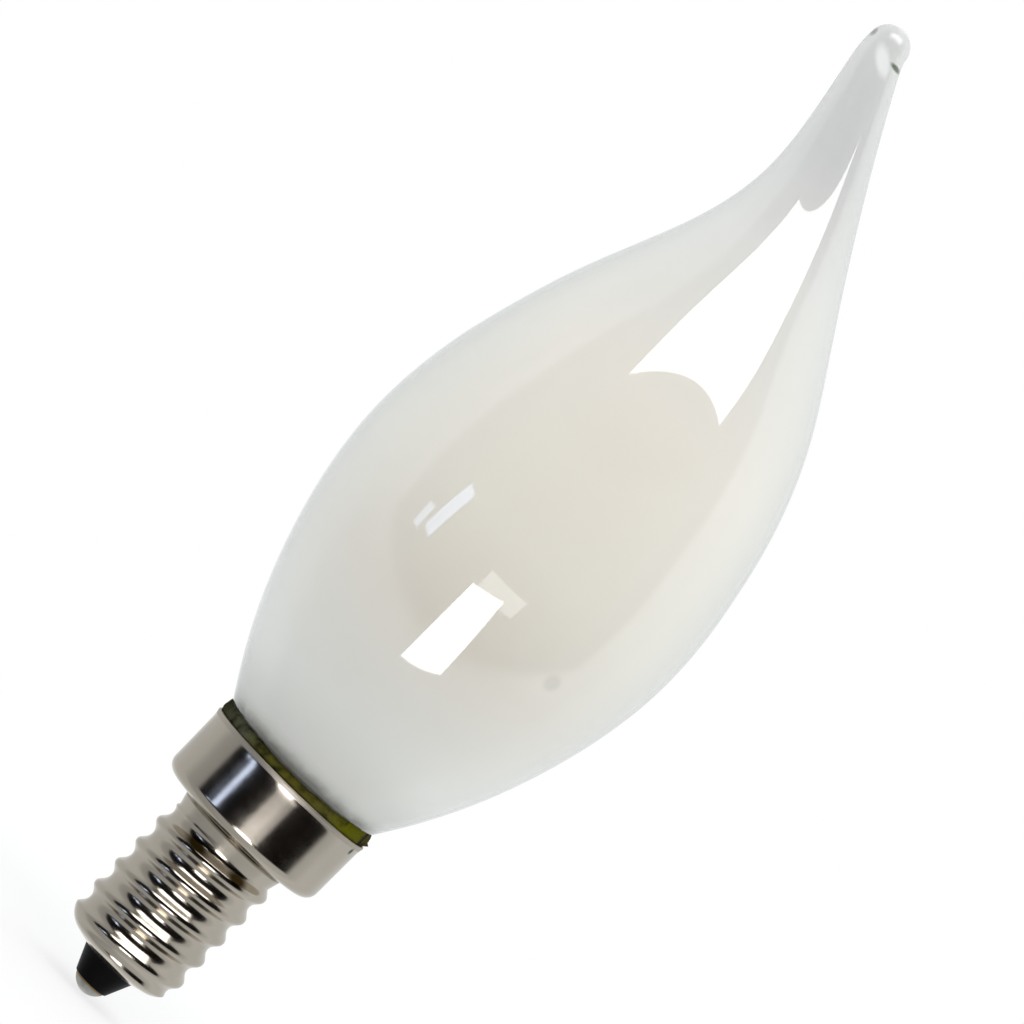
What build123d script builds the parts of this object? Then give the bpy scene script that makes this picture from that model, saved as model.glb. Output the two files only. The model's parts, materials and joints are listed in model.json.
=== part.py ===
from build123d import *
import os

# A flame-shaped candle bulb with a small screw cap, standing on its end contact.
# The cap's axis is Z, heights run up from the end of the contact, and the tip bends to -X.
# Sizes are in millimetres and angles in degrees.

# End contact: a dome with a shank that holds it in the insulator
contact_diameter = 3.2
contact_height = 1.05
shank_diameter = 1.6
shank_length = 1.4

# Insulator: a black button that fills the shell's bottom
insulator_end_diameter = 3.45
insulator_edge_radius = 0.15
insulator_length = 2.35
insulator_inside_height = 2.2

# Screw cap: one shell drawn from thin sheet, with a rolled right-hand thread
sheet = 0.3
bottom_hole_diameter = 5.5
bottom_rise = 0.92
bottom_radius = 2.2
thread_diameter = 11.75
thread_pitch = 2.54
thread_depth = 0.66
thread_height = 14.4
thread_crest_height = 2.96
neck_diameter = 11.25
neck_height = 1.0
neck_slope_height = 0.45
neck_radius = 0.4
shoulder_rise = 0.35
shoulder_radius = 1.15
skirt_diameter = 17.0
skirt_flare = 0.28
skirt_height = 6.95
lip_radius = 0.5
lip_width = 0.7

# Capping cement: fills the skirt round the glass neck and bulges over the rim
cement_height = 1.2
cement_step = 0.4

# Glass in the skirt: its straight neck, and the room that the skirt's mouth leaves round it
glass_insert = 5.4
neck_end_depth = 2.0
neck_clearance = 1.89
mouth_clearance = 0.45

# Glass above the skirt: round sections (height along the centre line above the rim, diameter)
glass_sections = [
    (6.0, 22.4),
    (16.0, 30.6),
    (28.0, 34.7),
    (40.0, 31.7),
    (50.0, 25.1),
    (59.0, 16.0),
    (67.0, 9.45),
    (75.0, 5.95),
    (81.7, 3.9),
]
ring_count = 17

# Centre line of the glass: upright to the bend, then through (offset, height above the rim)
bend_start = 38.0
bend_points = [(-0.95, 54.0), (-3.0, 66.0), (-7.0, 78.0), (-7.65, 80.9)]

# How far a swept or turned solid reaches into its neighbour where the two become one
bury = 0.05

# Levels along the axis
shell_base = contact_height + insulator_length
neck_base = shell_base + thread_height
shoulder_base = neck_base + neck_height
rim = shoulder_base + skirt_height
glass_base = rim - glass_insert

# Distances from the axis
hole = bottom_hole_diameter / 2
crest = thread_diameter / 2
root = crest - thread_depth
neck = neck_diameter / 2
skirt = skirt_diameter / 2
skirt_top = skirt + skirt_flare / 2
mouth = skirt_top - lip_width


def turned(lines):
    """Turns a closed outline, drawn as distance and height, about the axis."""
    return revolve(Plane.XZ * make_face(lines), Axis.Z)


def turned_inside(line):
    """Turns all that lies between the axis and an open line."""
    start, end = line @ 0, line @ 1
    back = Polyline(end, (0, end.Y), (0, start.Y), start)
    return turned([*line.edges(), *back.edges()])


def bottom_corner(distance):
    """Where the shell's sloping bottom reaches a distance from the axis."""
    return distance, shell_base + bottom_rise * (distance - hole) / (crest - hole)


def inner_wall():
    """The line of the shell's inside, one sheet within its outside."""
    outside = FilletPolyline(
        (hole, shell_base),
        bottom_corner(root),
        (root, shoulder_base),
        (skirt, shoulder_base + shoulder_rise),
        (skirt_top, rim),
        (mouth, rim),
        radius=[bottom_radius, neck_radius, shoulder_radius, lip_radius],
    )
    return Wire(outside.edges()).offset_2d(sheet, side=Side.LEFT, closed=False)


def skirt_mouth():
    """The opening that the turned-in lip leaves round the glass."""
    return Pos(0, 0, rim - sheet) * Cylinder(
        mouth, sheet, align=(Align.CENTER, Align.CENTER, Align.MIN)
    )


def rolled_thread():
    """A level circle carried round a slim helix, trimmed by the bottom and the neck."""
    swing = thread_depth / 2
    lead_in = thread_pitch
    helix = Helix(thread_pitch, lead_in + thread_height + neck_slope_height, swing)
    section = Pos(swing, 0, 0) * Circle(crest - swing)
    wave = sweep(section, path=helix, normal=(0, 0, 1))
    turn = 360 * (lead_in + thread_crest_height) / thread_pitch
    wave = Pos(0, 0, shell_base - lead_in) * Rot(0, 0, -turn) * wave
    limit = FilletPolyline(
        (hole, shell_base),
        bottom_corner(crest + bury),
        (crest + bury, neck_base - bury),
        (neck - bury, neck_base + neck_slope_height),
        radius=[bottom_radius, bury],
    )
    return wave & turned_inside(limit)


def neck_and_skirt():
    """The upper outside of the shell, solid to the axis."""
    line = FilletPolyline(
        (root - bury, neck_base - neck_slope_height),
        (neck, neck_base),
        (neck, shoulder_base),
        (skirt, shoulder_base + shoulder_rise),
        (skirt_top, rim),
        (mouth, rim),
        radius=[neck_radius, neck_radius, shoulder_radius, lip_radius],
    )
    return turned_inside(line)


def insulator_button(inside_line):
    """The button below the shell, and the hole in the shell that it fills."""
    side = FilletPolyline(
        (0, contact_height),
        (insulator_end_diameter / 2, contact_height),
        (hole, shell_base),
        radius=insulator_edge_radius,
    )
    hole_top = inside_line.vertices().sort_by(Axis.Y)[0]
    through = Polyline(
        (hole, shell_base),
        (hole_top.X, hole_top.Y),
        (0, hole_top.Y),
        (0, contact_height),
    )
    return turned([*side.edges(), *through.edges()])


def level_slab(low, high):
    """Everything from one level to another."""
    return Pos(0, 0, low) * Cylinder(
        2 * skirt, high - low, align=(Align.CENTER, Align.CENTER, Align.MIN)
    )


def flame_glass():
    """The closed glass: a straight neck, a loft along the bent centre line, a round tip."""
    neck_end = rim - neck_end_depth
    points = [(x, 0, rim + height) for x, height in bend_points]
    upright = Line((0, 0, neck_end), (0, 0, rim + bend_start))
    bend = Spline((0, 0, rim + bend_start), *points, tangents=[(0, 0, 1), (0, 0, 1)])
    centre_line = Wire([upright, bend])
    outline = Spline(
        (-neck_end_depth, mouth - neck_clearance),
        (0, mouth - mouth_clearance),
        *[(height, diameter / 2) for height, diameter in glass_sections],
    )
    rings = []
    for step in range(ring_count):
        point = outline @ (step / (ring_count - 1))
        along = point.X + neck_end_depth
        plane = Plane(
            centre_line.position_at(along, position_mode=PositionMode.LENGTH),
            x_dir=(0, 1, 0),
            z_dir=centre_line.tangent_at(along, position_mode=PositionMode.LENGTH),
        )
        rings.append(plane * Circle(point.Y))
    neck_tube = Pos(0, 0, glass_base) * Cylinder(
        mouth - neck_clearance,
        neck_end - glass_base,
        align=(Align.CENTER, Align.CENTER, Align.MIN),
    )
    tip = plane * Sphere(
        point.Y, arc_size1=0, align=(Align.CENTER, Align.CENTER, Align.MIN)
    )
    return loft(rings) + neck_tube + tip


def domed_contact():
    """The contact's dome and its shank."""
    dome = TangentArc((0, 0), (contact_diameter / 2, contact_height), tangent=(1, 0))
    shank = shank_diameter / 2
    top = contact_height + shank_length
    back = Polyline(
        (contact_diameter / 2, contact_height),
        (shank, contact_height),
        (shank, top),
        (0, top),
        (0, 0),
    )
    return turned([*dome.edges(), *back.edges()])


def cement_collar():
    """The cement above the rim, solid to the axis."""
    foot = (skirt_top - sheet, rim - sheet)
    top = (skirt_top - cement_step, rim + cement_height)
    side = ThreePointArc(foot, (skirt_top, rim + cement_height / 2), top)
    return turned_inside(side)


inside_line = inner_wall()
cavity = turned_inside(inside_line) + skirt_mouth()
button = insulator_button(inside_line)

end_contact = domed_contact()
glass_bulb = flame_glass()
screw_cap = neck_and_skirt() + rolled_thread() - cavity - button
insulator_top = shell_base + insulator_inside_height
cap_insulator = button + (cavity & level_slab(shell_base, insulator_top)) - end_contact
cement_fill = cavity & level_slab(glass_base, rim)
capping_cement = cement_fill + cement_collar() - glass_bulb - screw_cap

pieces = {
    "glass_bulb": glass_bulb,
    "capping_cement": capping_cement,
    "screw_cap": screw_cap,
    "cap_insulator": cap_insulator,
    "end_contact": end_contact,
}
os.makedirs("parts", exist_ok=True)
for name, piece in pieces.items():
    export_step(piece, f"parts/{name}.step")
    print(name, "solids", len(piece.solids()), "volume", round(piece.volume, 1))
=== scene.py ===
import json
import math
import bpy
import numpy as np
from mathutils import Matrix, Vector

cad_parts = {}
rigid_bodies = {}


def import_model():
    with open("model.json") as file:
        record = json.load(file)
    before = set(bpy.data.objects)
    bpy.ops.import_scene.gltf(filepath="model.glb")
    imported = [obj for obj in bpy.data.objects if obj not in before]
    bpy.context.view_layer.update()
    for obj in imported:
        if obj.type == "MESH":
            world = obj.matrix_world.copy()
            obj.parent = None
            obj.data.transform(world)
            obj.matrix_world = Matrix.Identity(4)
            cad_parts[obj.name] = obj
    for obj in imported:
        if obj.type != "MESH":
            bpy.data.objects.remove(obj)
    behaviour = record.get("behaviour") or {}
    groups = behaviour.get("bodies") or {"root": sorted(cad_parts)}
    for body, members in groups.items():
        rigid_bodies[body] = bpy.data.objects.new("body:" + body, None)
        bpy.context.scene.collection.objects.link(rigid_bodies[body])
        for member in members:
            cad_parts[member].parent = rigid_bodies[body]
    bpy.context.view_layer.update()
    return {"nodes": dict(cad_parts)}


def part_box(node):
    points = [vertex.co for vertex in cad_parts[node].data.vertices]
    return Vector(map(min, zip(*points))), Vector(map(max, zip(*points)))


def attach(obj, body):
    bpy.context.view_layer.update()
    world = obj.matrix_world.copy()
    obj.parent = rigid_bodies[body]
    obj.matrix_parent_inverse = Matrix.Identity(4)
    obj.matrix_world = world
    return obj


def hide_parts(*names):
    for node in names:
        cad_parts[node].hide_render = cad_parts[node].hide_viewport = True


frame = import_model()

# Lengths are millimetres in the part's own frame, unless a note says metres.
mm = 0.001
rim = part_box("screw_cap")[1][2] / mm  # top of the skirt


# Curves and rings
def splineThrough(points, ends=None):
    # a smooth curve through the points; its end directions are given, or follow the nearest points
    pts = np.asarray(points, float)
    steps = np.linalg.norm(np.diff(pts, axis=0), axis=1)
    knots = np.r_[0.0, np.cumsum(steps)]
    count = len(pts)

    def endSlope(ids):
        out = np.zeros(pts.shape[1])
        k = knots[ids]
        for i in range(len(ids)):
            others = [j for j in range(len(ids)) if j != i]
            if i == 0:
                w = sum(1.0 / (k[0] - k[j]) for j in others)
            else:
                w = np.prod([k[0] - k[j] for j in others if j != 0])
                w /= np.prod([k[i] - k[j] for j in others])
            out += w * pts[ids[i]]
        return out

    near = min(4, count)  # points that set the slope at an end
    first = endSlope(list(range(near)))
    last = endSlope(list(range(count - 1, count - 1 - near, -1)))
    if ends is not None:
        first = np.asarray(ends[0], float) * np.linalg.norm(first)
        last = np.asarray(ends[1], float) * np.linalg.norm(last)
    a = np.zeros((count, count))
    b = np.zeros_like(pts)
    a[0, 0] = a[-1, -1] = 1.0
    b[0], b[-1] = first, last
    for i in range(1, count - 1):
        h0, h1 = steps[i - 1], steps[i]
        a[i, i - 1], a[i, i], a[i, i + 1] = h1, 2 * (h0 + h1), h0
        b[i] = 3 * (h1 * (pts[i] - pts[i - 1]) / h0 + h0 * (pts[i + 1] - pts[i]) / h1)
    slopes = np.linalg.solve(a, b)

    def at(u):
        u = np.atleast_1d(np.asarray(u, float))
        i = np.clip(np.searchsorted(knots, u, side="right") - 1, 0, count - 2)
        h = steps[i]
        t = ((u - knots[i]) / h)[:, None]
        h = h[:, None]
        p0, p1, m0, m1 = pts[i], pts[i + 1], slopes[i], slopes[i + 1]
        return ((2 * t**3 - 3 * t**2 + 1) * p0 + (t**3 - 2 * t**2 + t) * h * m0
                + (-2 * t**3 + 3 * t**2) * p1 + (t**3 - t**2) * h * m1)

    return at, knots[-1]


def filletPath(points, radii, step):
    # straight lines with rounded corners, cut into short steps
    leastCuts = 4  # in a rounded corner
    pts = [np.asarray(p, float) for p in points]
    out = [pts[0]]
    for i, radius in enumerate(radii, 1):
        before = pts[i - 1] - pts[i]
        after = pts[i + 1] - pts[i]
        d0, d1 = before / np.linalg.norm(before), after / np.linalg.norm(after)
        half = math.acos(np.clip(np.dot(d0, d1), -1, 1)) / 2
        reach = radius / math.tan(half)
        centre = pts[i] + (d0 + d1) / np.linalg.norm(d0 + d1) * radius / math.sin(half)
        begin, end = pts[i] + d0 * reach, pts[i] + d1 * reach
        a0 = math.atan2(*(begin - centre)[::-1])
        a1 = math.atan2(*(end - centre)[::-1])
        turn = (a1 - a0 + math.pi) % (2 * math.pi) - math.pi
        n = max(leastCuts, int(abs(turn) * radius / step))
        for k in range(n + 1):
            ang = a0 + turn * k / n
            out.append(centre + radius * np.array([math.cos(ang), math.sin(ang)]))
    out.append(pts[-1])
    dense = [out[0]]
    for p, q in zip(out[:-1], out[1:]):
        n = max(1, int(np.linalg.norm(q - p) / step))
        dense += [p + (q - p) * k / n for k in range(1, n + 1)]
    return np.array(dense)


def levelRing(theta, radius, height):
    x, y, z = np.broadcast_arrays(radius * np.cos(theta), radius * np.sin(theta), height)
    return np.c_[x, y, z]


def ringMesh(name, rings, closed=False):
    # joins rings in order; a closed section joins its last ring to the first, an open one gets two ends
    rings = np.asarray(rings, float)
    rows, cols = rings.shape[:2]
    faces = []
    for i in range(rows if closed else rows - 1):
        below, above = i * cols, (i + 1) % rows * cols
        for j in range(cols):
            k = (j + 1) % cols
            faces.append((below + j, below + k, above + k, above + j))
    if not closed:
        faces.append(tuple(range(cols - 1, -1, -1)))
        faces.append(tuple((rows - 1) * cols + j for j in range(cols)))
    mesh = bpy.data.meshes.new(name)
    mesh.from_pydata([tuple(v) for v in rings.reshape(-1, 3) * mm], [], faces)
    mesh.polygons.foreach_set("use_smooth", [True] * len(faces))
    mesh.update()
    piece = bpy.data.objects.new(name, mesh)
    bpy.context.scene.collection.objects.link(piece)
    return piece


# Shader nodes
noiseSpan = (0.3, 0.7)  # where most of a noise's values lie


def newMaterial(name):
    mat = bpy.data.materials.new(name)
    mat.use_nodes = True
    tree = mat.node_tree
    return mat, tree, tree.nodes["Principled BSDF"]


def plug(tree, node, sockets):
    for key, value in sockets.items():
        if isinstance(value, bpy.types.NodeSocket):
            tree.links.new(value, node.inputs[key])
        else:
            node.inputs[key].default_value = value


def addNode(tree, kind, sockets=None, **settings):
    node = tree.nodes.new(kind)
    for key, value in settings.items():
        setattr(node, key, value)
    plug(tree, node, sockets or {})
    return node


def onPiece(tree):
    # a point of the piece in its own frame, how far across it is and how high, all in metres
    place = addNode(tree, "ShaderNodeTexCoord").outputs["Object"]
    parts = addNode(tree, "ShaderNodeSeparateXYZ", {0: place}).outputs
    return place, parts[0], parts[2]


def calc(tree, operation, first, second=0.0, third=None):
    sockets = {0: first, 1: second}
    if third is not None:
        sockets[2] = third
    return addNode(tree, "ShaderNodeMath", sockets, operation=operation).outputs[0]


def times(tree, first, *others):
    for other in others:
        first = calc(tree, "MULTIPLY", first, other)
    return first


def ramp(tree, factor, stops):
    node = addNode(tree, "ShaderNodeValToRGB", {0: factor})
    elements = node.color_ramp.elements
    while len(elements) < len(stops):
        elements.new(0.5)
    for element, (place, colour) in zip(elements, stops):
        element.position = place
        element.color = (*colour, 1.0)
    return node.outputs[0]


def smoothStep(tree, value, low, high):
    node = addNode(tree, "ShaderNodeMapRange", {0: value, 1: low, 2: high, 3: 0.0, 4: 1.0},
                   interpolation_type="SMOOTHSTEP")
    return node.outputs[0]


def levelStep(tree, height, span):
    return smoothStep(tree, height, span[0] * mm, span[1] * mm)


def spread(tree, value, low, high):
    sockets = {0: value, 1: noiseSpan[0], 2: noiseSpan[1], 3: low, 4: high}
    return addNode(tree, "ShaderNodeMapRange", sockets).outputs[0]


def mixColour(tree, factor, first, second):
    node = addNode(tree, "ShaderNodeMix", {0: factor}, data_type="RGBA")
    for key, value in ((6, first), (7, second)):  # its colour sockets
        plug(tree, node, {key: value if isinstance(value, bpy.types.NodeSocket) else (*value, 1.0)})
    return node.outputs[2]


def noise(tree, place, scale, detail=2.0):
    sockets = {"Vector": place, "Scale": scale, "Detail": detail}
    return addNode(tree, "ShaderNodeTexNoise", sockets).outputs[0]


def bumpFrom(tree, height, distance, strength):
    sockets = {"Height": height, "Distance": distance * mm, "Strength": strength}
    return addNode(tree, "ShaderNodeBump", sockets).outputs[0]


def paintSpots(tree, place, colour, spots):
    # a patch of tint round each point of the surface; stretch narrows it and turn tilts it about Y
    core = 0.35  # share of the radius that has the full tint
    for spot in spots:
        point, radius = [v * mm for v in spot["point"]], spot["radius"] * mm
        angle = math.radians(spot.get("turn", 0))
        away = addNode(tree, "ShaderNodeVectorMath", {0: place, 1: point}, operation="SUBTRACT")
        away = addNode(tree, "ShaderNodeVectorRotate", {"Vector": away.outputs[0], "Angle": angle},
                       rotation_type="Y_AXIS")
        away = addNode(tree, "ShaderNodeVectorMath", {0: away.outputs[0], 1: spot["stretch"]},
                       operation="MULTIPLY")
        far = addNode(tree, "ShaderNodeVectorMath", {0: away.outputs[0]}, operation="LENGTH")
        near = smoothStep(tree, far.outputs["Value"], radius, core * radius)
        colour = mixColour(tree, near, colour, spot["tint"])
    return colour


# Glass: round sections carried up a centre line that bends to -X
glass = {
    "name": "flame_glass",
    "base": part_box("glass_bulb")[0][2] / mm, "top": 108.4,
    # height above the rim along the centre line, and radius
    "sections": [(-2.0, 6.05), (0.0, 7.49), (6.0, 11.2), (16.0, 15.3), (28.0, 17.35), (40.0, 15.85),
                 (50.0, 12.55), (59.0, 8.0), (67.0, 4.725), (75.0, 2.975), (81.7, 1.95)],
    # centre line above the straight part: distance to the side, and height above the rim
    "bend": [(0.0, 38.0), (-0.95, 54.0), (-3.0, 66.0), (-7.0, 78.0), (-7.65, 80.9)],
    "within": 0.999,  # keeps the rings just inside the CAD glass
    "neckEnd": -2.2, "neckRings": 6, "rings": 240, "tipCuts": 16, "around": 128,
    # colour by height; below about 34 it darkens towards the cap: painted shade and a painted reflection of
    # the cement
    "tints": [(26.3, (0.05, 0.05, 0.04)), (26.8, (0.10, 0.095, 0.09)), (27.25, (0.12, 0.118, 0.105)),
              (27.55, (0.30, 0.30, 0.27)), (28.0, (0.455, 0.455, 0.425)), (28.6, (0.54, 0.54, 0.51)),
              (34.0, (0.60, 0.60, 0.562)), (44.5, (0.675, 0.63, 0.553)), (54.0, (0.82, 0.78, 0.685)),
              (70.0, (0.93, 0.88, 0.785)), (86.0, (0.87, 0.86, 0.82)), (96.0, (0.71, 0.71, 0.70)),
              (103.0, (0.72, 0.72, 0.71)), (107.0, (0.77, 0.77, 0.75))],
    "cloud": 0.12, "cloudScale": 90.0,
    # the painted shade at the foot gets an uneven upper edge
    "footShadeWobble": 0.9, "footShadeWobbleScale": 520.0, "footShadeWobbleFrom": (28.8, 27.4),
    # painted sheen: a paler tint towards the outline, standing in for light reflected and scattered there
    "edge": 0.9, "paintedSheenFrom": (27.5, 34.0), "paintedSheenTint": (0.86, 0.87, 0.835),
    "dull": 0.04, "coatDull": 0.03, "tipDull": 0.2, "tipFrom": (105.8, 107.2),
    "spots": [
        # the solid end of the tip: a painted highlight where the glass is thick, a dark line painted where
        # refraction darkens a crease, and a dark spot at its left edge
        {"point": (-7.1, -2.0, 105.05), "stretch": (1.0, 0.5, 0.42), "radius": 0.85, "turn": 49,
         "tint": (1.0, 1.0, 0.99)},
        {"point": (-5.85, -1.2, 105.45), "stretch": (0.36, 0.2, 1.0), "radius": 0.34,
         "tint": (0.10, 0.13, 0.07)},
        {"point": (-9.3, -0.6, 106.45), "stretch": (1.0, 0.5, 0.6), "radius": 0.42,
         "tint": (0.30, 0.30, 0.27)},
        # a blemish in the frosting
        {"point": (9.8, -13.5, 47.5), "stretch": (1.0, 1.0, 1.0), "radius": 1.1,
         "tint": (0.66, 0.635, 0.57)},
    ],
}


def makeGlass(spec):
    sections = [(h, r * spec["within"]) for h, r in spec["sections"]]
    outline, outlineLength = splineThrough(sections)
    bend, bendLength = splineThrough(spec["bend"], ends=((0, 1), (0, 1)))
    fineCuts, behind = 2000, 0.05  # pieces of the bend, and how far back a direction is taken from
    line = bend(np.linspace(0, bendLength, fineCuts))
    run = np.r_[0.0, np.cumsum(np.linalg.norm(np.diff(line, axis=0), axis=1))]
    bendStart = spec["bend"][0][1]
    theta = np.linspace(0, 2 * math.pi, spec["around"], endpoint=False)

    def centre(along):
        if along <= bendStart:
            return np.array([0.0, along]), np.array([0.0, 1.0])
        s = along - bendStart
        if s > run[-1]:
            return line[-1] + np.array([0.0, s - run[-1]]), np.array([0.0, 1.0])
        p = np.array([np.interp(s, run, line[:, i]) for i in range(2)])
        q = np.array([np.interp(s - behind, run, line[:, i]) for i in range(2)])
        d = p - q
        return p, d / np.linalg.norm(d)

    def ring(along, radius):
        p, d = centre(along)
        out = np.zeros((len(theta), 3))
        out[:, 0] = p[0] + radius * np.cos(theta) * d[1]
        out[:, 1] = radius * np.sin(theta)
        out[:, 2] = rim + p[1] - radius * np.cos(theta) * d[0]
        return out

    neck = np.linspace(spec["base"] - rim, spec["neckEnd"], spec["neckRings"])
    rings = [ring(h, sections[0][1]) for h in neck]
    points = outline(np.linspace(0, outlineLength, spec["rings"]))
    rings += [ring(h, r) for h, r in points]
    tipAlong, tipRadius = points[-1]
    for ang in np.linspace(0, math.pi / 2, spec["tipCuts"])[1:-1]:
        rings.append(ring(tipAlong + tipRadius * math.sin(ang), tipRadius * math.cos(ang)))
    return ringMesh(spec["name"], rings)


def frostedGlass(spec):
    mat, tree, shader = newMaterial("frosted_glass")
    place, _, height = onPiece(tree)
    # noise makes the upper edge of the painted shade and reflection at the foot uneven
    footShadeWobble = calc(tree, "SUBTRACT", noise(tree, place, spec["footShadeWobbleScale"], detail=3.0), 0.5)
    footShadeWobble = times(tree, footShadeWobble, spec["footShadeWobble"] * mm, levelStep(tree, height, spec["footShadeWobbleFrom"]))
    level = times(tree, calc(tree, "ADD", height, footShadeWobble), 1 / (spec["top"] * mm))
    # the lowest stops of this ramp are painted shade and a painted reflection of the cement
    colour = ramp(tree, level, [(z / spec["top"], tint) for z, tint in spec["tints"]])
    cloud = calc(tree, "SUBTRACT", noise(tree, place, spec["cloudScale"]), 0.5)
    colour = mixColour(tree, times(tree, cloud, spec["cloud"]), colour, (1, 1, 1))
    # painted sheen: the glass turns paler where its surface turns away from the view
    edge = addNode(tree, "ShaderNodeLayerWeight", {"Blend": 0.5}).outputs["Facing"]
    edge = times(tree, edge, spec["edge"], levelStep(tree, height, spec["paintedSheenFrom"]))
    colour = mixColour(tree, edge, colour, spec["paintedSheenTint"])
    tip = levelStep(tree, height, spec["tipFrom"])
    plug(tree, shader, {
        "Base Color": paintSpots(tree, place, colour, spec["spots"]),
        "Roughness": calc(tree, "MULTIPLY_ADD", tip, spec["tipDull"], spec["dull"]),
        "IOR": 1.5, "Specular IOR Level": 1.0,  # both faces of the glass reflect
        "Coat Weight": 1.0,
        "Coat Roughness": calc(tree, "MULTIPLY_ADD", tip, spec["tipDull"], spec["coatDull"]),
    })
    return mat


flameGlass = makeGlass(glass)
print("stage: glass", len(flameGlass.data.polygons), "faces")


# Screw cap: one drawn shell with the thread rolled into it
cap = {
    "name": "threaded_cap",
    "base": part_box("screw_cap")[0][2] / mm, "hole": 2.75, "bottomRise": 0.92, "bottomRadius": 2.2,
    "crest": 5.875, "depth": 0.66, "pitch": 2.54, "crestAt": 6.36, "sharp": 0.125,
    # radius and height where the thread begins to fade and where it ends, and of the neck's slight cone
    "runOut": ((5.875, 16.75), (5.3, 17.45)), "runOutRadii": (0.3, 0.2), "runOutBlend": 0.12,
    "neck": ((5.215, 17.2), (5.67, 18.8)), "neckRadius": 0.4, "neckBlend": 0.08,
    "neckBelow": 0.5, "neckAbove": 0.65,
    "shoulderRise": 0.35, "shoulderRadius": 1.15,
    "skirt": 8.5, "skirtTop": 8.64, "lipRadius": 0.16, "mouth": 7.94, "sheet": 0.3,
    # the mouth of the skirt flares a little
    "flareFrom": 1.4, "flareOut": 0.14, "flarePower": 3.5, "flareRoom": 0.08, "flareIn": 0.1,
    "insideRadii": (0.2, 0.6, 0.6, 1.9),
    "around": 192, "step": 0.07, "bottomStep": 0.08, "insideStep": 0.6,
    "tints": [(0.3, (0.57, 0.515, 0.44)), (0.7, (0.63, 0.565, 0.485))], "tintScale": 160.0,
    # the plate's grain, and the duller cut edge at the lip
    "dull": (0.145, 0.185), "grainScale": 900.0, "grainDepth": 0.02, "grainBump": 0.12,
    "lipDull": 0.33, "lipBelow": (0.55, 0.4),
    # a patchy dark brown band at the top of the neck, under the shoulder
    "recessFrom": (18.4, 18.65), "recessTo": (18.88, 18.8), "recessTint": (0.12, 0.09, 0.045),
    "recessScale": 480.0, "recessPatchy": (0.45, 1.0),
    "marks": [
        # a dark mark by the rim, and dark brown patches on the front of the last turn
        {"point": (8.0, -3.1, 25.0), "stretch": (1.0, 1.0, 1.0), "radius": 0.45,
         "tint": (0.02, 0.018, 0.012)},
        {"point": (-1.75, -5.2, 16.35), "stretch": (0.42, 0.3, 1.0), "radius": 0.75, "turn": -4,
         "tint": (0.06, 0.042, 0.01)},
        {"point": (2.75, -4.8, 16.62), "stretch": (0.55, 0.3, 1.0), "radius": 0.75, "turn": -4,
         "tint": (0.075, 0.052, 0.016)},
    ],
}


def makeCap(spec):
    theta = np.linspace(0, 2 * math.pi, spec["around"], endpoint=False)
    crest, swing, sharp = spec["crest"], spec["depth"] / 2, spec["sharp"]
    root = crest - spec["depth"]
    middle = crest - swing * (1 + sharp)
    corner = spec["base"] + spec["bottomRise"]
    step, sheet = spec["step"], spec["sheet"]
    (coneFoot, coneBase), (coneHead, shoulder) = spec["neck"]
    full, faded = spec["runOut"]
    limit = filletPath([(spec["hole"], spec["base"]), (crest, corner), full, faded, (faded[0], shoulder)],
                       [spec["bottomRadius"], *spec["runOutRadii"]], spec["bottomStep"])
    lowRows = limit[limit[:, 1] < corner + spec["bottomRadius"], 1]
    rows = np.r_[lowRows, np.arange(lowRows[-1] + step, coneBase + spec["neckAbove"], step)]

    def cone(z):
        return coneFoot + (coneHead - coneFoot) * (z - coneBase) / (shoulder - coneBase)

    def softMin(a, b, k):
        h = np.clip(0.5 + 0.5 * (b - a) / k, 0, 1)
        return b * (1 - h) + a * h - k * h * (1 - h)

    def threadRow(z):
        phase = theta - 2 * math.pi * (z - spec["crestAt"]) / spec["pitch"]
        wave = middle + swing * (np.cos(phase) + sharp * np.cos(2 * phase))
        r = softMin(wave, np.interp(z, limit[:, 1], limit[:, 0]), spec["runOutBlend"])
        if z > coneBase - spec["neckBelow"]:
            r = -softMin(-r, -cone(z), spec["neckBlend"])
        return r

    rings = [levelRing(theta, threadRow(z), z) for z in rows]
    neckStart = rows[-1] + step
    outside = filletPath([(cone(neckStart), neckStart), (coneHead, shoulder),
                          (spec["skirt"], shoulder + spec["shoulderRise"]),
                          (spec["skirtTop"] - spec["flareRoom"], rim), (spec["mouth"], rim)],
                         [spec["neckRadius"], spec["shoulderRadius"], spec["lipRadius"]], step)
    for r, z in outside:
        part = np.clip((z - rim + spec["flareFrom"]) / spec["flareFrom"], 0, 1)
        flares = r > spec["skirt"] - spec["flareIn"]
        rings.append(levelRing(theta, r + spec["flareOut"] * part ** spec["flarePower"] * flares, z))
    inside = filletPath([(spec["mouth"], rim - sheet), (spec["skirtTop"] - sheet, rim - sheet),
                         (spec["skirt"] - sheet, shoulder + spec["shoulderRise"] + sheet),
                         (root - sheet, shoulder + sheet), (root - sheet, corner),
                         (spec["hole"], spec["base"] + sheet)],
                        spec["insideRadii"], spec["insideStep"])
    rings += [levelRing(theta, r, z) for r, z in inside]
    return ringMesh(spec["name"], rings, closed=True)


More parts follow.
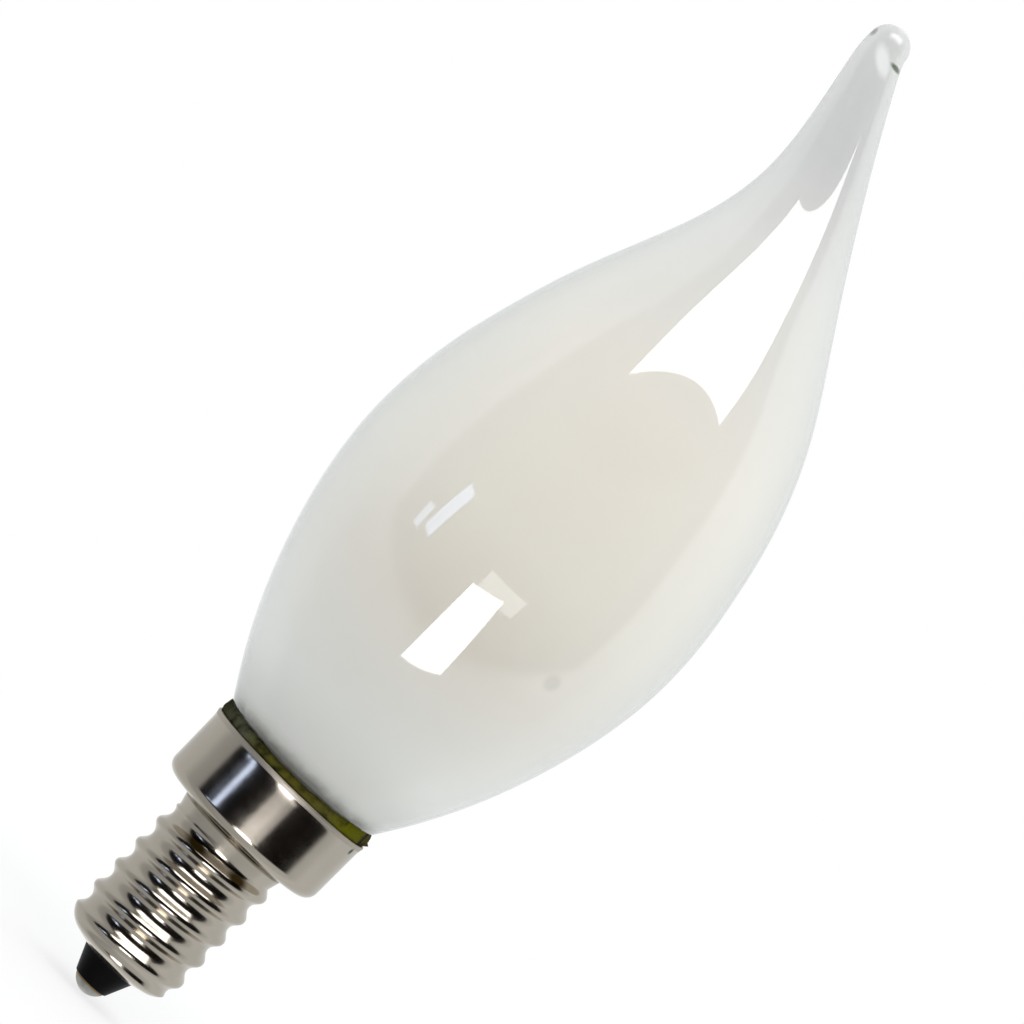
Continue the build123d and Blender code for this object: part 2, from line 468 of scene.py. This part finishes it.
def nickelPlate(spec):
    mat, tree, shader = newMaterial("nickel_plate")
    place, _, height = onPiece(tree)
    colour = ramp(tree, noise(tree, place, spec["tintScale"], detail=3.0), spec["tints"])
    patchy = spread(tree, noise(tree, place, spec["recessScale"], detail=3.0), *spec["recessPatchy"])
    recess = times(tree, levelStep(tree, height, spec["recessFrom"]),
                   levelStep(tree, height, spec["recessTo"]), patchy)
    colour = mixColour(tree, recess, colour, spec["recessTint"])
    grain = noise(tree, place, spec["grainScale"], detail=3.0)
    lip = levelStep(tree, height, [rim - below for below in spec["lipBelow"]])
    dull = calc(tree, "MULTIPLY_ADD", lip, spec["lipDull"], spread(tree, grain, *spec["dull"]))
    plug(tree, shader, {
        "Base Color": paintSpots(tree, place, colour, spec["marks"]),
        "Metallic": 1.0, "Roughness": dull,
        "Normal": bumpFrom(tree, grain, spec["grainDepth"], spec["grainBump"]),
    })
    return mat


threadedCap = makeCap(cap)
print("stage: cap", len(threadedCap.data.polygons), "faces")


# Cement: fills the skirt round the glass neck and is squeezed out unevenly over the rim
cement = {
    "name": "cement_ring", "seed": 7,
    "foot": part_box("capping_cement")[0][2] / mm + 0.02,  # just above the CAD ring's foot
    "inner": 6.0, "under": 8.12, "wall": 8.25, "throat": 7.9, "lipDepth": 0.36, "overRim": 0.01,
    "crown": 7.3, "crownDepth": 1.9,
    # heights above the rim, in front and at the left and right sides
    "outer": 8.3, "sideBulge": 0.13, "frontHeight": 0.8, "sideHeight": (1.5, 1.75), "highest": 1.6,
    # the bulge seen from outside: share of its height, and how far it stands out
    "bulge": [(0.0, 0.0), (0.1, 0.06), (0.22, 0.09), (0.35, 0.1), (0.48, 0.09), (0.6, 0.06),
              (0.72, 0.01), (0.83, -0.06), (0.92, -0.15), (0.98, -0.28), (1.0, -0.45)],
    # waves round the ring, and how fast the short ones die away
    "topWaves": ((5, 8, 13, 21, 34, 55), 0.5), "topUneven": 0.1,
    "edgeWaves": ((3, 6, 11, 18, 29, 43), 0.4), "edgeUneven": 0.05,
    "lumpWaves": ((9, 17, 28, 41, 63, 88), 0.25), "lumps": 0.07, "lumpsFrom": 0.1,
    # a thin flake that stands out on the right; turn and width are in radians
    "flake": {"turn": 0.01, "width": 0.022, "level": 26.07, "thick": 0.17, "out": 0.42},
    "around": 384,
    # colour from left to right, over this width
    "width": 20.0,
    "tints": [(-8.6, (0.02, 0.02, 0.006)), (-7.6, (0.05, 0.05, 0.025)), (-5.8, (0.075, 0.077, 0.05)),
              (-3.4, (0.075, 0.072, 0.012)), (0.0, (0.09, 0.08, 0.012)), (4.2, (0.085, 0.08, 0.016)),
              (6.2, (0.095, 0.098, 0.002)), (7.6, (0.095, 0.095, 0.003)), (8.6, (0.07, 0.052, 0.02))],
    "pits": (0.012, 0.011, 0.004), "pitsFrom": (0.56, 0.36),
    "grainScale": 1100.0, "grainShare": 0.55, "patchScale": 330.0, "patchShare": 0.45,
    "dull": (0.65, 0.9), "gloss": 0.03, "grainDepth": 0.25, "grainBump": 0.8,
}


def makeCement(spec):
    theta = np.linspace(0, 2 * math.pi, spec["around"], endpoint=False)
    rng = np.random.default_rng(spec["seed"])
    latest = 6.28  # a wave starts anywhere up to here, about a full turn

    def ripple(waves, power):
        out = np.zeros_like(theta)
        for k in waves:
            out += rng.normal() / k**power * np.cos(k * theta + rng.uniform(0, latest))
        return out / np.abs(out).max()

    sideways = np.cos(theta) ** 2
    side = np.where(np.cos(theta) < 0, *spec["sideHeight"])
    rise = spec["frontHeight"] + (side - spec["frontHeight"]) * sideways
    rise = np.minimum(rise + spec["topUneven"] * ripple(*spec["topWaves"]), spec["highest"])
    edge = spec["outer"] + spec["sideBulge"] * sideways + spec["edgeUneven"] * ripple(*spec["edgeWaves"])
    lip, start = rim - spec["lipDepth"], rim + spec["overRim"]
    rows = [(spec["inner"], spec["foot"]), (spec["under"], spec["foot"]), (spec["wall"], lip),
            (spec["throat"], lip), (spec["throat"], start)]
    flake = spec["flake"]
    turn = (theta - flake["turn"] + math.pi) % (2 * math.pi) - math.pi
    for part, out in spec["bulge"]:
        fade = math.sin(math.pi * min(1.0, part + spec["lumpsFrom"]))
        bumps = spec["lumps"] * ripple(*spec["lumpWaves"]) * fade
        z = start + part * (rise - spec["overRim"])
        thin = np.exp(-(turn / flake["width"]) ** 2) * np.exp(-((z - flake["level"]) / flake["thick"]) ** 2)
        rows.append((edge + out + bumps + flake["out"] * thin, z))
    rows += [(spec["crown"], rim + rise), (spec["inner"], rim - spec["crownDepth"])]
    return ringMesh(spec["name"], [levelRing(theta, r, z) for r, z in rows], closed=True)


def cementPaste(spec):
    mat, tree, shader = newMaterial("cement_paste")
    place, side, _ = onPiece(tree)
    grain = noise(tree, place, spec["grainScale"], detail=4.0)
    patch = noise(tree, place, spec["patchScale"])
    across = calc(tree, "MULTIPLY_ADD", side, 1 / (spec["width"] * mm), 0.5)
    colour = ramp(tree, across, [(x / spec["width"] + 0.5, tint) for x, tint in spec["tints"]])
    mixed = calc(tree, "MULTIPLY_ADD", grain, spec["grainShare"], times(tree, patch, spec["patchShare"]))
    colour = mixColour(tree, smoothStep(tree, mixed, *spec["pitsFrom"]), colour, spec["pits"])
    plug(tree, shader, {
        "Base Color": colour,
        "Roughness": spread(tree, grain, *spec["dull"]), "Specular IOR Level": spec["gloss"],
        "Normal": bumpFrom(tree, grain, spec["grainDepth"], spec["grainBump"]),
    })
    return mat


cementRing = makeCement(cement)
print("stage: cement", len(cementRing.data.polygons), "faces")


# Insulator and end contact keep their CAD shapes
insulator = {"tints": [(0.3, (0.001, 0.001, 0.0012)), (0.7, (0.003, 0.0026, 0.0026))],
             "swirlScale": 400.0, "dull": (0.28, 0.42), "gloss": 0.08}
contact = {"tints": [(0.3, (0.36, 0.35, 0.33)), (0.7, (0.52, 0.51, 0.48))],
           "joint": (0.30, 0.20, 0.08), "jointFrom": (0.78, 1.0),  # stained where it meets the insulator
           "dull": (0.3, 0.48), "grainScale": 1500.0, "grainDepth": 0.03, "grainBump": 0.5}


def blackInsulator(spec):
    mat, tree, shader = newMaterial("black_insulator")
    place = addNode(tree, "ShaderNodeTexCoord").outputs["Object"]
    swirl = noise(tree, place, spec["swirlScale"], detail=3.0)
    plug(tree, shader, {
        "Base Color": ramp(tree, swirl, spec["tints"]),
        "Roughness": spread(tree, swirl, *spec["dull"]), "Specular IOR Level": spec["gloss"],
    })
    return mat


def contactMetal(spec):
    mat, tree, shader = newMaterial("contact_metal")
    place, _, height = onPiece(tree)
    grain = noise(tree, place, spec["grainScale"], detail=4.0)
    joint = levelStep(tree, height, spec["jointFrom"])
    plug(tree, shader, {
        "Base Color": mixColour(tree, joint, ramp(tree, grain, spec["tints"]), spec["joint"]),
        "Metallic": 1.0, "Roughness": spread(tree, grain, *spec["dull"]),
        "Normal": bumpFrom(tree, grain, spec["grainDepth"], spec["grainBump"]),
    })
    return mat


def dress(piece, node, mat):
    piece.data.materials.append(mat)
    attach(piece, "root")
    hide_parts(node)


dress(flameGlass, "glass_bulb", frostedGlass(glass))
dress(threadedCap, "screw_cap", nickelPlate(cap))
dress(cementRing, "capping_cement", cementPaste(cement))
for nodeName, mat in (("cap_insulator", blackInsulator(insulator)), ("end_contact", contactMetal(contact))):
    node = frame["nodes"][nodeName]
    for piece in [node, *node.children_recursive]:
        if piece.type == "MESH":
            piece.data.materials.clear()
            piece.data.materials.append(mat)
print("stage: materials")


# Studio: angles are degrees, turned from the camera's side or lifted from level; levels are plain brightness
studio = {
    # the floor's half width and the distances where it runs out into the white background, in metres
    "floorHalf": 3.0, "floorFade": (0.04, 0.13),
    "floorTint": (0.9, 0.9, 0.9, 1), "floorDull": 0.9, "floorGlow": 0.74, "floorShade": 0.28,
    # what the bulb reflects all round; a backdrop brighter than coolTo loses its tint
    "around": [(-180, 1.0), (-165, 0.75), (-150, 0.60), (-108, 0.57), (-95, 0.42), (-80, 0.38),
               (91, 0.57), (103, 0.68), (134, 0.64), (164, 0.71), (180, 1.0)],
    "cool": (0.97, 1.0, 1.0), "coolTo": 0.75,
    # the dark field in front, with round lower corners
    "darkFrom": (-76, -70), "darkTo": (83, 75), "darkLow": (-36, -30), "darkHigh": (84, 76),
    "darkSag": 12, "sagAt": 60, "darkTint": (0.004, 0.003, 0.003),
    # what only lights it
    "fill": [(-180, 1.25), (-125, 1.15), (-85, 0.95), (-72, 0.11), (78, 0.11), (86, 1.1),
             (125, 1.3), (180, 1.3)],
    "fillTint": (0.97, 1.0, 1.02),
    # side, foot and reach are metres; foot is how far out and up the middle of the lower edge stands
    "lamps": [
        {"name": "upper_softbox", "turn": 12, "aim": 75, "side": (-1.018, 0.69), "foot": (1.0, 1.0),
         "lean": 42, "reach": 1.0, "level": 3.0},
        {"name": "lower_softbox", "turn": 9, "aim": 45, "side": (-0.055, 0.0367), "foot": (0.177, -0.1308),
         "lean": -53.9, "reach": 0.1027, "level": 4.8, "twist": 8.6},
        {"name": "window", "turn": -44, "aim": 58, "side": (-0.09, 0.09), "foot": (1.5, -0.43),
         "lean": 0, "reach": 0.43, "level": 2.2, "twist": -17, "tint": (0.57, 0.70, 1.0)},
        {"name": "far_window", "turn": -54.4, "aim": 58, "side": (-0.06, 0.06), "foot": (1.5, -0.43),
         "lean": 0, "reach": 0.17, "level": 1.8, "twist": -8, "tint": (0.57, 0.70, 1.0)},
        {"name": "low_card", "turn": 9, "aim": 0, "side": (-0.05, 0.073), "foot": (0.259, -0.03),
         "lean": 0, "reach": 0.028, "level": 1.1},
    ],
}


def makeFloor(spec):
    s = spec["floorHalf"]
    mesh = bpy.data.meshes.new("floor")
    mesh.from_pydata([(-s, -s, 0), (s, -s, 0), (s, s, 0), (-s, s, 0)], [], [(0, 1, 2, 3)])
    floor = bpy.data.objects.new("floor", mesh)
    bpy.context.scene.collection.objects.link(floor)
    mat, tree, shader = newMaterial("pale_floor")
    plug(tree, shader, {"Base Color": spec["floorTint"], "Roughness": spec["floorDull"]})
    light = addNode(tree, "ShaderNodeLightPath").outputs
    seen = calc(tree, "MAXIMUM", light["Is Camera Ray"],
                calc(tree, "MAXIMUM", light["Is Glossy Ray"], light["Is Transmission Ray"]))
    # it keeps the shadow near the object and runs out into the white background
    place = addNode(tree, "ShaderNodeTexCoord").outputs["Object"]
    away = addNode(tree, "ShaderNodeVectorMath", {0: place}, operation="LENGTH").outputs["Value"]
    plain = smoothStep(tree, away, *spec["floorFade"])
    level = calc(tree, "MULTIPLY_ADD", plain, 1 - spec["floorGlow"], spec["floorGlow"])
    flat = calc(tree, "MULTIPLY_ADD", plain, spec["floorShade"], 1 - spec["floorShade"])
    glow = addNode(tree, "ShaderNodeEmission",
                   {"Color": (1, 1, 1, 1), "Strength": times(tree, seen, level)})
    shaded = addNode(tree, "ShaderNodeMixShader", {0: times(tree, seen, flat), 1: shader.outputs[0]})
    both = addNode(tree, "ShaderNodeAddShader", {0: shaded.outputs[0], 1: glow.outputs[0]})
    plug(tree, tree.nodes["Material Output"], {0: both.outputs[0]})
    mesh.materials.append(mat)
    floor.visible_glossy = False
    floor.visible_shadow = False  # the low lamp shines up past it


def makeWorld(spec):
    world = bpy.data.worlds.new("studio")
    bpy.context.scene.world = world
    world.use_nodes = True
    tree = world.node_tree
    tree.nodes.clear()
    way = addNode(tree, "ShaderNodeTexCoord").outputs["Generated"]
    x, y, z = addNode(tree, "ShaderNodeSeparateXYZ", {0: way}).outputs[:3]
    turn = calc(tree, "DEGREES", calc(tree, "ARCTAN2", x, times(tree, y, -1.0)))
    lift = calc(tree, "DEGREES", calc(tree, "ARCSINE", z))
    place = calc(tree, "MULTIPLY_ADD", turn, 1 / 360, 0.5)
    brightStops, fillStops = [], []
    for angle, level in spec["around"]:
        white = max(0.0, (level - spec["coolTo"]) / (1 - spec["coolTo"]))
        brightStops.append((angle / 360 + 0.5, [level * (c + (1 - c) * white) for c in spec["cool"]]))
    for angle, level in spec["fill"]:
        fillStops.append((angle / 360 + 0.5, [level * c for c in spec["fillTint"]]))
    bright, fill = ramp(tree, place, brightStops), ramp(tree, place, fillStops)
    sag = times(tree, turn, turn, spec["darkSag"] / spec["sagAt"] ** 2)
    dark = times(tree, smoothStep(tree, turn, *spec["darkFrom"]), smoothStep(tree, turn, *spec["darkTo"]),
                 smoothStep(tree, calc(tree, "SUBTRACT", lift, sag), *spec["darkLow"]),
                 smoothStep(tree, lift, *spec["darkHigh"]))
    light = addNode(tree, "ShaderNodeLightPath").outputs
    colour = mixColour(tree, dark, bright, spec["darkTint"])
    colour = mixColour(tree, light["Is Glossy Ray"], fill, colour)
    plain = calc(tree, "MAXIMUM", light["Is Camera Ray"], light["Is Transmission Ray"])
    colour = mixColour(tree, plain, colour, (1.0, 1.0, 1.0))  # the background itself is white
    back = addNode(tree, "ShaderNodeBackground", {"Color": colour, "Strength": 1.0})
    addNode(tree, "ShaderNodeOutputWorld", {0: back.outputs[0]})


def hangPanel(spec):
    az, lean, twist = [math.radians(spec.get(key, 0)) for key in ("turn", "lean", "twist")]
    right = Vector((math.cos(az), math.sin(az), 0))
    out = Vector((math.sin(az), -math.cos(az), 0))
    up = Vector((0, 0, 1))
    leaning = math.cos(lean) * up - math.sin(lean) * out
    low, high = spec["side"]
    footOut, footUp = spec["foot"]
    spot = Vector((0, 0, spec["aim"] * mm)) + right * (low + high) / 2 + out * footOut + up * footUp
    spot = spot + leaning * spec["reach"] / 2
    back = right.cross(leaning)
    across = math.cos(twist) * right + math.sin(twist) * leaning
    along = math.cos(twist) * leaning - math.sin(twist) * right
    lamp = bpy.data.lights.new(spec["name"], "AREA")
    lamp.shape = "RECTANGLE"
    lamp.size, lamp.size_y = high - low, spec["reach"]
    lamp.energy = spec["level"] * math.pi * lamp.size * lamp.size_y
    lamp.color = spec.get("tint", (1, 1, 1))
    holder = bpy.data.objects.new(spec["name"], lamp)
    bpy.context.scene.collection.objects.link(holder)
    holder.matrix_world = Matrix((
        (across.x, along.x, back.x, spot.x), (across.y, along.y, back.y, spot.y),
        (across.z, along.z, back.z, spot.z), (0, 0, 0, 1)))


makeFloor(studio)
makeWorld(studio)
for lampSpec in studio["lamps"]:
    hangPanel(lampSpec)

# Camera, turned about its line of sight as the photograph is
shot = {"roll": 45.4, "aim": (-2.57, 55.30), "distance": 400.0, "nearest": 10.0,
        "lens": 163.5, "sensor": 36.0}
lens = bpy.data.cameras.new("camera")
lens.sensor_width = shot["sensor"]
lens.lens = shot["lens"]
lens.clip_start = shot["nearest"] * mm
camera = bpy.data.objects.new("camera", lens)
bpy.context.scene.collection.objects.link(camera)
sa, ca = math.sin(math.radians(shot["roll"])), math.cos(math.radians(shot["roll"]))
camera.matrix_world = Matrix((
    (sa, -ca, 0, shot["aim"][0] * mm), (0, 0, -1, -shot["distance"] * mm),
    (ca, sa, 0, shot["aim"][1] * mm), (0, 0, 0, 1)))
bpy.context.scene.camera = camera
bpy.context.scene.view_settings.view_transform = "Standard"
print("stage: studio")

bpy.context.view_layer.update()
